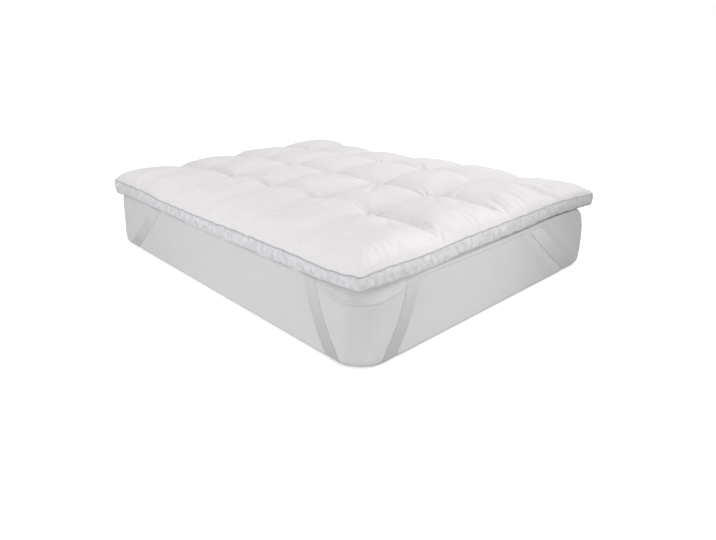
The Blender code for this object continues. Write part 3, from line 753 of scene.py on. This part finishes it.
pad_faces = sheet_faces(rows, columns)
for upper, lower in zip(ring_numbers, ring_numbers[1:]):
    for here in range(len(edge)):
        after = (here + 1) % len(edge)
        pad_faces.append(tuple(int(n) for n in (lower[here], lower[after], upper[after], upper[here])))
pad_faces.append(tuple(int(n) for n in ring_numbers[-1][::-1]))
topper_cloth = cloth(
    "topper microfibre", MICROFIBRE_WHITE, MICROFIBRE_PITCH, 0.92, mottle=0.012, sheen=0.12
)
quilted_pad = object_of("quilted_pad", pad_points, pad_faces, topper_cloth)
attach(quilted_pad, "root")
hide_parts("topper_pad")

# ==== The corded seams ====
# Grey tape folded over a thin cord and caught in the seams where the side band meets the top and bottom
# panels. It wanders with the gathered cloth.

SEAM_PITCH = 0.006
SEAM_CORNER_STEPS = 8
CORD_SIDES = 8
CORD_RADIUS = 0.0016
TAPE_GREY = (0.54, 0.54, 0.555)
TAPE_PITCH = 0.0009

topper_corners = [
    (sign_x, sign_y, first_angle, TOPPER_CORNER) for sign_x, sign_y, first_angle, *_ in MATTRESS_CORNERS
]
seam_plan, seam_outward = rounded_outline(rim_x, rim_y, topper_corners, SEAM_PITCH, SEAM_CORNER_STEPS)
seam_places = {seam: seam_height(seam, seam_plan[:, 0], seam_plan[:, 1]) for seam in ("top", "bottom")}
cord_cloth = cloth("cord tape", TAPE_GREY, TAPE_PITCH, 0.85, mottle=0.10, sheen=0.05)
cord_faces = [face[::-1] for face in ring_faces(CORD_SIDES, len(seam_plan), closed=True)]
for seam, heights in seam_places.items():
    rings = []
    for side in range(CORD_SIDES):
        turn = 2 * math.pi * side / CORD_SIDES
        plan = seam_plan + seam_outward * CORD_RADIUS * math.cos(turn)
        rings.append(np.column_stack((plan, heights + CORD_RADIUS * math.sin(turn))))
    cord = object_of(seam + "_seam_cord", np.concatenate(rings), cord_faces, cord_cloth)
    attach(cord, "root")
    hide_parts(seam + "_piping")

# ==== The side band ====
# A strip of the same microfibre between the two corded seams, a shade greyer, gathered a little and bulging
# with the filling behind it.

BAND_THICKNESS = 0.0014
BAND_ROWS = 10
BAND_GAP = 0.0001
BAND_GREY = (0.685, 0.68, 0.69)
BAND_LAID_DEPTH = 0.05
BAND_GATHER_PITCH = 0.034
BAND_GATHER_HEIGHT = 0.0013
BAND_GATHER_FALL = 0.7  # lower keeps the folds high closer to the seams
BAND_GATHER_LEAN = 0.03  # how far the folds lean from the bottom seam to the top one
BAND_GATHER_SEED = 401
BAND_LUMPS = ((0.045, 0.0010, 402), (0.019, 0.0006, 403))  # (length, height, seed)

low = seam_places["bottom"] + CORD_RADIUS + BAND_GAP
high = seam_places["top"] - CORD_RADIUS - BAND_GAP
distance_round = np.concatenate(((0,), np.cumsum(np.linalg.norm(np.diff(seam_plan, axis=0), axis=1))))
band_rows = []
for part in np.linspace(0, 1, BAND_ROWS + 1):
    leaning = distance_round + BAND_GATHER_LEAN * part
    laid_out = np.column_stack((leaning, np.full(len(leaning), part * BAND_LAID_DEPTH)))
    between = math.sin(math.pi * part)
    lumps = sum(unevenness(laid_out, length, seed) * height for length, height, seed in BAND_LUMPS)
    pucker = gathers(leaning, BAND_GATHER_PITCH, BAND_GATHER_SEED) * BAND_GATHER_HEIGHT
    pucker *= between**BAND_GATHER_FALL
    out = BAND_BULGE * between - BAND_THICKNESS / 2 + (pucker + lumps * between)
    plan = seam_plan + seam_outward * out[:, None]
    band_rows.append(np.column_stack((plan, low + (high - low) * part)))
band_cloth = cloth(
    "band microfibre", BAND_GREY, MICROFIBRE_PITCH, 0.92, mottle=0.13, sheen=0.1, patches=45.0
)
band_faces = ring_faces(len(band_rows), len(seam_plan))
side_band = object_of("side_band", np.concatenate(band_rows), band_faces, band_cloth)
thickness = side_band.modifiers.new("Cloth thickness", "SOLIDIFY")
thickness.thickness = BAND_THICKNESS
thickness.offset = 0
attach(side_band, "root")
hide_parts("gusset")

# ==== The corner straps ====
# Ribbed grey elastic. Each strap is sewn into the bottom seam on both sides of a corner, runs down the
# sides of the mattress and is stretched under that corner of it.

STRAP_WIDTH = 0.062
STRAP_THICKNESS = 0.0011
STRAP_PRESS = 0.0026  # how far it sinks into the side of the mattress
STRAP_PRESS_START = 0.03  # over this height from the foot
STRAP_FLARE = 0.04  # it is wider where it is sewn in, and narrower halfway down, where it is stretched
STRAP_FLARE_START = 0.8  # where the wider end begins, as a share of the way up
STRAP_TUCK = 0.55  # how closely it follows the shoulder, from 0 to 1
STRAP_TOP_GAP = 0.0010  # from the cord of the seam to the strap's end
STRAP_TOP_SPREAD = 1.15  # how much wider its slanting end is along the seam
STRAP_WAVE = 0.0004
STRAP_WAVE_LENGTH = 1.1
STRAP_WAVE_ACROSS = 0.5  # how much of the wave half of the width holds, and each metre of height
STRAP_WAVE_UP = 8
STRAP_WAVE_SEED = 501
STRAP_SIDE_SEED = 10  # more, on a strap's second side
STRAP_EDGE_LIFT = 0.0005
STRAP_ACROSS = 14
STRAP_EDGE = 0.985  # the outermost columns lie close to the edges, which keeps the edges crisp
STRAP_SIDE_ROWS = 34
STRAP_BEND_ROWS = 10
STRAP_FLOOR_ROWS = 8
STRAP_CLEARANCE = 0.0012  # from the side of the mattress to the middle of the strap
STRAP_REST = 0.0002  # between the strap and the cover it lies on
STRAP_LOOSE_END = 0.5  # how freely it hangs in front of the shoulder, from 0 to 1
STRAP_LOOSE_START = 0.02  # over the shoulder's start, and the height over which it gets loose
STRAP_SAG_UNDER = 0.03  # how far its run under the mattress bends away from the corner
ELASTIC_GREY = (0.615, 0.615, 0.615)
ELASTIC_PITCH = 0.0024
STRAP_PAINTED_SHADE = 0.80  # painted shade: its tone at the foot, darker as if in shade there, against that at the seam
STRAP_SHADE_FOOT = 0.03  # heights between which the tone turns
STRAP_SHADE_TOP = 0.24
STRAP_PAINTED_LIGHT = 1.18  # painted light: the tone of the far straps, lighter as if better lit, against that of the near one
STRAP_PAINTED_LIGHT_WAY = (1.0, 0.35, 0.0)  # the painted light grows this way
STRAP_PAINTED_LIGHT_START = -0.85  # places that way between which the tone turns
STRAP_PAINTED_LIGHT_END = 0.1
# (strap, sign of the corner's X, sign of its Y, corner to strap at the seam, the same at the foot, how far
# its run up the side bends away from the corner)
STRAPS = (
    ("near", -1, -1, 0.255, 0.142, 0.019),
    ("left", -1, 1, 0.545, 0.175, 0.010),
    ("right", 1, -1, 0.560, 0.175, 0.008),
    ("far", 1, 1, 0.255, 0.142, 0.013),
)


def strap_half(at_seam, at_foot, bow, seam_over, seed):
    """Rows of points across a strap from the seam to the diagonal under the corner.

    A point is (metres from the corner along the side, metres out from the side, height).
    """
    bend = MATTRESS_FOOT + STRAP_THICKNESS / 2
    bend_out = STRAP_CLEARANCE - bend
    bend_height = STRAP_CLEARANCE + bend
    rise = FULL_HEIGHT - bend_height
    mean_slope = (at_seam - at_foot) / rise
    bow_slope = math.pi * bow / rise
    across = np.linspace(-1, 1, STRAP_ACROSS + 1)
    across[1], across[-2] = -STRAP_EDGE, STRAP_EDGE
    half_width = STRAP_WIDTH / 2

    def on_side(share, top):
        height = bend_height + (top - bend_height) * share
        part = (height - bend_height) / rise
        middle = at_foot + (at_seam - at_foot) * part + bow * np.sin(math.pi * part)
        steepness = mean_slope + bow_slope * np.cos(math.pi * part)
        sewn_in = smooth_step((part - STRAP_FLARE_START) / (1 - STRAP_FLARE_START))
        width = half_width * (1 - STRAP_FLARE * (np.sin(math.pi * part) - sewn_in / 2))
        along = middle + across * width * np.hypot(1, steepness)
        over = np.clip((height - SHOULDER_START) / (FULL_HEIGHT - SHOULDER_START), 0, 1)
        shoulder = SHOULDER_DEPTH * (1 - np.sqrt(1 - over * over))
        laid_out = np.column_stack((across * STRAP_WAVE_ACROSS, height * STRAP_WAVE_UP))
        wave = unevenness(laid_out, STRAP_WAVE_LENGTH, seed) * STRAP_WAVE
        press = STRAP_PRESS * smooth_step((height - bend_height) / STRAP_PRESS_START)
        edge_lift = STRAP_EDGE_LIFT * across**4
        out = STRAP_CLEARANCE - press - shoulder * STRAP_TUCK + wave + edge_lift
        return np.column_stack((along, out, height))

    rows = []
    tops = seam_over(at_seam + across * half_width * STRAP_TOP_SPREAD)
    for step in range(STRAP_SIDE_ROWS):
        rows.append(on_side(1 - step / STRAP_SIDE_ROWS, tops))
    slope = mean_slope + bow_slope
    for step in range(STRAP_BEND_ROWS + 1):
        share = step / STRAP_BEND_ROWS
        steepness = slope + (1 - slope) * share
        drift = math.pi / 2 * bend * (slope * share + (1 - slope) * share * share / 2)
        along = at_foot - drift + across * half_width * math.hypot(1, steepness)
        turn = math.pi / 2 * share
        out = np.full(len(across), bend_out + bend * math.cos(turn))
        height = np.full(len(across), bend_height - bend * math.sin(turn))
        rows.append(np.column_stack((along, out, height)))
    edge_along, edge_out = rows[-1][:, 0], rows[-1][:, 1]
    halfway = (edge_along - edge_out) / 2
    for step in range(1, STRAP_FLOOR_ROWS + 1):
        share = step / STRAP_FLOOR_ROWS
        along = edge_along + (halfway - edge_along) * share
        out = edge_out + (-halfway - edge_out) * share
        rows.append(np.column_stack((along, out, rows[-1][:, 2])))
    return rows


def strap_rows(sign_x, sign_y, at_seam, at_foot, bow, seed):
    """Rows of points across a whole strap, from the seam on its corner's X side to that on its Y side."""
    half_x, half_y = mattress_high.x, mattress_high.y

    def seam_on_x_side(along):
        side = np.full(len(along), sign_x * rim_x)
        return seam_height("bottom", side, sign_y * (half_y - along)) - CORD_RADIUS - STRAP_TOP_GAP

    def seam_on_y_side(along):
        side = np.full(len(along), sign_y * rim_y)
        return seam_height("bottom", sign_x * (half_x - along), side) - CORD_RADIUS - STRAP_TOP_GAP

    rows = []
    first = strap_half(at_seam, at_foot, bow, seam_on_x_side, seed)
    second = strap_half(at_seam, at_foot, bow, seam_on_y_side, seed + STRAP_SIDE_SEED)
    for along, out, height in (row.T for row in first):
        rows.append(np.column_stack((sign_x * (half_x + out), sign_y * (half_y - along), height)))
    for along, out, height in (row.T for row in second[-2::-1]):
        rows.append(np.column_stack((sign_x * (half_x - along), sign_y * (half_y + out), height)))
    return rows


cover_surface = surface_of(mattress_cover.data)


def laid_on_cover(rows):
    """The rows of a strap drawn in until they lie on the cover, and straight under the mattress."""
    grid = np.array(rows)
    bend_end = STRAP_SIDE_ROWS + STRAP_BEND_ROWS
    other_end = len(grid) - 1 - bend_end
    height = grid[:, :, 2].copy()
    for row in list(range(bend_end + 1)) + list(range(other_end, len(grid))):
        for column in range(STRAP_ACROSS + 1):
            place, facing, *_ = cover_surface.find_nearest(Vector(grid[row, column]))
            off_cover = STRAP_THICKNESS / 2 + STRAP_REST
            laid = np.array(place + facing * off_cover)
            outside = (Vector(grid[row, column]) - place).dot(facing) > off_cover
            over_shoulder = height[row, column] - SHOULDER_START - STRAP_LOOSE_START
            loose = STRAP_LOOSE_END * smooth_step(over_shoulder / STRAP_LOOSE_START)
            grid[row, column] += (laid - grid[row, column]) * (1 - loose * outside)
    for row in range(bend_end + 1, other_end):
        share = (row - bend_end) / (other_end - bend_end)
        grid[row] = grid[bend_end] * (1 - share) + grid[other_end] * share
        inwards = -grid[row, :, :2] / np.linalg.norm(grid[row, :, :2], axis=1, keepdims=True)
        grid[row, :, :2] += inwards * STRAP_SAG_UNDER * math.sin(math.pi * share)
        grid[row, :, 2] = STRAP_CLEARANCE
    inner = grid[1:-1, 1:-1].copy()
    grid[1:-1, 1:-1] = (inner * 2 + grid[:-2, 1:-1] + grid[2:, 1:-1]) / 4
    return grid


def ramp(tree, value, start, end, at_start, at_end):
    """The output of a node that turns a value from start to end into one from at_start to at_end."""
    inputs = {"Value": value, "From Min": start, "From Max": end, "To Min": at_start, "To Max": at_end}
    return add_node(tree, "MapRange", inputs).outputs["Result"]


def product(tree, first, second):
    return add_node(tree, "Math", {0: first, 1: second}, "MULTIPLY").outputs["Value"]


elastic = cloth("ribbed elastic", ELASTIC_GREY, ELASTIC_PITCH, 0.8, mottle=0.03, sheen=0.0)
tree = elastic.node_tree
elastic_tone = tree.nodes["Principled BSDF"].inputs["Base Color"]
place = add_node(tree, "TexCoord", {}).outputs["Object"]
upwards = add_node(tree, "SeparateXYZ", {"Vector": place}).outputs["Z"]
# Painted light: the straps further to the right and back are lighter in colour, as if better lit.
painted_light_reach = add_node(tree, "VectorMath", {0: place, 1: STRAP_PAINTED_LIGHT_WAY}, "DOT_PRODUCT").outputs["Value"]
# Painted shade: the elastic's colour is darker towards the foot, as if in shade there.
painted_foot_shade = ramp(tree, upwards, STRAP_SHADE_FOOT, STRAP_SHADE_TOP, STRAP_PAINTED_SHADE, 1.0)
painted_light = ramp(tree, painted_light_reach, STRAP_PAINTED_LIGHT_START, STRAP_PAINTED_LIGHT_END, 1.0, STRAP_PAINTED_LIGHT)
shading = {"Vector": elastic_tone.links[0].from_socket, "Scale": product(tree, painted_foot_shade, painted_light)}
shaded = add_node(tree, "VectorMath", shading, "SCALE")
tree.links.new(shaded.outputs["Vector"], elastic_tone)
for number, (name, sign_x, sign_y, at_seam, at_foot, bow) in enumerate(STRAPS):
    rows = strap_rows(sign_x, sign_y, at_seam, at_foot, bow, STRAP_WAVE_SEED + number)
    rows = laid_on_cover(rows)
    faces = sheet_faces(len(rows), STRAP_ACROSS + 1)
    if sign_x * sign_y > 0:
        faces = [face[::-1] for face in faces]
    band = object_of("strap_band_" + name, rows.reshape(-1, 3), faces, elastic)
    thickness = band.modifiers.new("Cloth thickness", "SOLIDIFY")
    thickness.thickness = STRAP_THICKNESS
    thickness.offset = 0
    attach(band, "root")
    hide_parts("strap_" + name)

# ==== The studio ====
# A pale floor in a white surround that is dimmer beyond the right end. A cool soft light comes from the
# left, and a warmer one from the right that leaves the far end dim. A broad one leans in from above the
# right side, and a weak soft one hangs over it.

CAMERA_PLACE = (-1.793, -2.0413, 0.9364)
CAMERA_DOWN = 21.216
CAMERA_YAW = 43.37
CAMERA_FOCUS = 518.19  # focal length in pixels of a picture 716 across
PICTURE_WIDTH = 716
SENSOR_WIDTH = 36.0
PAPER_WHITE = (0.94, 0.94, 0.94, 1)
WHITE = (1, 1, 1, 1)
FLOOR_SIZE = 60
FLOOR_GLOW = 0.45
SURROUND_LIGHT = 0.48
SURROUND_DIM = 0.55  # share of it that comes from the right end
SURROUND_DIMMING = (-0.2, 0.9)  # it turns dim between these shares of the way to the right
BELOW_SHARE = 1.52  # light that comes from below the horizon, against that from above it
BELOW_TURN = (-0.3, 0.3)  # it turns from one to the other between these shares of the way up
FLOOR_SHARE = 0.2  # light that comes from straight below, against the rest
FLOOR_TURN = (-1.0, -0.4)

bpy.ops.mesh.primitive_plane_add(size=FLOOR_SIZE)
floor = bpy.context.object
floor.name = "floor"
paper = bpy.data.materials.new("studio floor")
paper.use_nodes = True
paper_shader = paper.node_tree.nodes["Principled BSDF"]
paper_shader.inputs["Base Color"].default_value = PAPER_WHITE
paper_shader.inputs["Roughness"].default_value = 1.0
paper_shader.inputs["Specular IOR Level"].default_value = 0.0
paper_shader.inputs["Emission Color"].default_value = WHITE
paper_shader.inputs["Emission Strength"].default_value = FLOOR_GLOW
floor.data.materials.append(paper)
floor.visible_diffuse = False
floor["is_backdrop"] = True

surround = bpy.data.worlds.new("white surround")
surround.use_nodes = True
tree = surround.node_tree
heading = add_node(tree, "TexCoord", {}).outputs["Generated"]
direction = add_node(tree, "SeparateXYZ", {"Vector": heading}).outputs
dimming = ramp(tree, direction["X"], *SURROUND_DIMMING, SURROUND_LIGHT, SURROUND_LIGHT * SURROUND_DIM)
from_floor = ramp(tree, direction["Z"], *FLOOR_TURN, FLOOR_SHARE, 1.0)
from_below = ramp(tree, direction["Z"], *BELOW_TURN, BELOW_SHARE, 1.0)
strength = product(tree, product(tree, dimming, from_floor), from_below)
glow = tree.nodes["Background"]
glow.inputs["Color"].default_value = WHITE
tree.links.new(strength, glow.inputs["Strength"])
backdrop = add_node(tree, "Background", {"Color": WHITE})
seen = add_node(tree, "LightPath", {}).outputs["Is Camera Ray"]
either = add_node(tree, "MixShader", {"Fac": seen, 1: glow.outputs[0], 2: backdrop.outputs[0]})
tree.links.new(either.outputs["Shader"], tree.nodes["World Output"].inputs["Surface"])
bpy.context.scene.world = surround
bpy.context.scene.view_settings.view_transform = "Standard"


def lamp(name, kind, place, aim, power, colour):
    data = bpy.data.lights.new(name, kind)
    data.energy = power
    data.color = colour
    light = bpy.data.objects.new(name, data)
    light.location = place
    light.rotation_mode = "QUATERNION"
    light.rotation_quaternion = (Vector(aim) - Vector(place)).to_track_quat("-Z", "Y")
    bpy.context.scene.collection.objects.link(light)
    return data


left = lamp("left softbox", "AREA", (-3.4, -0.4, 0.22), (-0.8, -0.3, 0.14), 35.0, (0.965, 0.975, 1.0))
left.shape = "RECTANGLE"
left.size = 1.6
left.size_y = 0.6
right = lamp("right spotlight", "SPOT", (0.4, -3.2, 0.5), (-0.58, -1.0, 0.2), 92.0, (1.0, 0.98, 0.972))
right.spot_size = math.radians(62)
right.spot_blend = 1.0
right.shadow_soft_size = 0.5
above = lamp("overhead softbox", "SUN", (0, 0, 5.0), (-1.7, 0.7, 0), 1.66, (1.0, 1.0, 1.0))
above.angle = math.radians(100)
over_right = lamp("right softbox", "AREA", (1.3, -0.5, 1.7), (0.45, -0.3, 0.4), 4.6, (1.0, 0.975, 0.985))
over_right.size = 1.0

lens = bpy.data.cameras.new("camera")
lens.sensor_width = SENSOR_WIDTH
lens.lens = CAMERA_FOCUS / PICTURE_WIDTH * lens.sensor_width
camera = bpy.data.objects.new("camera", lens)
down, yaw = math.radians(CAMERA_DOWN), math.radians(CAMERA_YAW)
looking = Vector((math.sin(yaw) * math.cos(down), math.cos(yaw) * math.cos(down), -math.sin(down)))
camera.location = CAMERA_PLACE
camera.rotation_mode = "QUATERNION"
camera.rotation_quaternion = looking.to_track_quat("-Z", "Y")
bpy.context.scene.collection.objects.link(camera)
bpy.context.scene.camera = camera

low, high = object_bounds()
